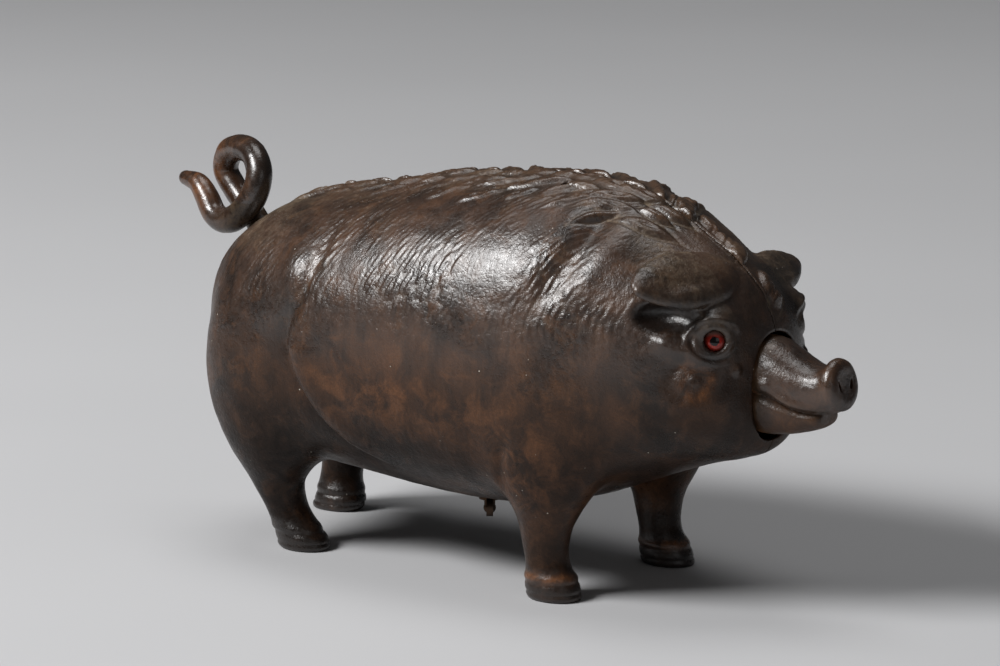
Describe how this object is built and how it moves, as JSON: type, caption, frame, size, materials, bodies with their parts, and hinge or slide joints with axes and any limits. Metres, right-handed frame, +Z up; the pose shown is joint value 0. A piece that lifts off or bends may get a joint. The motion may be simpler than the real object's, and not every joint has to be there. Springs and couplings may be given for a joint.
{
  "type": "counter bell",
  "caption": "Clockwork counter bell cast as a standing pig: pressing the hinged snout or the curled tail rings a bell hidden inside the hollow body.",
  "frame": {"origin": "centre of the bounding box in x and y, at the soles of the feet", "axes": "+X towards the snout, +Y to the pig's left, +Z up; the spine seam lies in y = 0"},
  "size_m": [0.222, 0.0866, 0.1072],
  "materials": {
    "cast_iron": "dark brown patina, worn satin",
    "eye_glass": "polished red glass with a black pupil",
    "bell_metal": "turned, slightly dull",
    "brass": "aged satin",
    "steel": "dull, slightly oily",
    "key_iron": "dark, worn"
  },
  "bodies": {
    "body": {"body_half_left": "cast_iron", "body_half_right": "cast_iron", "glass_eye_left": "eye_glass", "glass_eye_right": "eye_glass", "joining_screws": "steel", "case_screws": "steel", "snout_pivot_pin": "steel", "tail_pivot_pin": "steel", "return_spring": "steel", "spring_post": "steel", "detent_screw": "steel", "lower_plate": "brass", "upper_plate": "brass", "plate_pillars": "brass", "pillar_screws": "steel", "click_screw": "steel", "click_spring": "steel", "bell": "bell_metal", "bell_post": "brass", "bell_nut": "brass"},
    "snout": {"snout": "cast_iron", "snout_lever": "steel", "snout_rivets": "steel", "front_link_pin": "steel"},
    "tail": {"tail": "cast_iron", "tail_lever": "steel", "rear_link_pin": "steel"},
    "link": {"link_rod": "steel"},
    "detent": {"detent_lever": "steel"},
    "winder": {"winding_arbor": "steel", "ratchet_wheel": "steel", "winding_key": "key_iron"},
    "click": {"click": "steel"},
    "barrel": {"mainspring_barrel": "brass", "barrel_cover": "brass", "mainspring": "steel"},
    "second": {"second_wheel": "brass", "second_arbor": "steel"},
    "star": {"star_wheel": "brass", "star_arbor": "steel"},
    "hammer": {"hammer_arbor": "steel", "hammer_arm": "steel", "hammer_head": "brass"}
  },
  "joints": [
    {"name": "snout_press", "type": "hinge", "parent": "body", "child": "snout", "pos_m": [0.075, 0, 0.062], "axis": [0, 1, 0], "range_deg": [0, 5], "stiffness_Nm_per_rad": 0.15, "springref_deg": -14.32},
    {"name": "tail_press", "type": "hinge", "parent": "body", "child": "tail", "pos_m": [-0.073, 0, 0.08], "axis": [0, -1, 0], "range_deg": [0, 9.1], "deforming": ["return_spring"]},
    {"name": "link_slide", "type": "slide", "parent": "body", "child": "link", "axis": [1, 0, 0], "range_m": [0, 0.00175]},
    {"name": "detent_swing", "type": "hinge", "parent": "body", "child": "detent", "pos_m": [0.0285, -0.006, 0.054], "axis": [0, 0, -1], "range_deg": [0, 7.2]},
    {"name": "winding_turn", "type": "hinge", "parent": "body", "child": "winder", "pos_m": [-0.0035, 0, 0.03], "axis": [0, 0, 1], "continuous": true},
    {"name": "click_lift", "type": "hinge", "parent": "body", "child": "click", "pos_m": [0.0061, 0.008, 0.03], "axis": [0, 0, 1], "range_deg": [0, 11], "stiffness_Nm_per_rad": 0.001, "springref_deg": -11.46},
    {"name": "barrel_turn", "type": "hinge", "parent": "body", "child": "barrel", "pos_m": [-0.0035, 0, 0.04], "axis": [0, 0, 1], "continuous": true},
    {"name": "second_turn", "type": "hinge", "parent": "body", "child": "second", "pos_m": [0.01756, 0, 0.042], "axis": [0, 0, 1], "continuous": true},
    {"name": "star_turn", "type": "hinge", "parent": "body", "child": "star", "pos_m": [0.01756, 0.01406, 0.042], "axis": [0, 0, 1], "continuous": true},
    {"name": "hammer_swing", "type": "hinge", "parent": "body", "child": "hammer", "pos_m": [0.00766, 0.01766, 0.045], "axis": [0, 0, 1], "range_deg": [-3.5, 8]}
  ],
  "couplings": [
    {"joint": "link_slide", "follows": "snout_press", "m_per_rad": 0.02},
    {"joint": "tail_press", "follows": "snout_press", "ratio": 1.82},
    {"joint": "detent_swing", "follows": "snout_press", "ratio": 1.42},
    {"joint": "second_turn", "follows": "barrel_turn", "ratio": -6},
    {"joint": "star_turn", "follows": "barrel_turn", "ratio": 36}
  ]
}
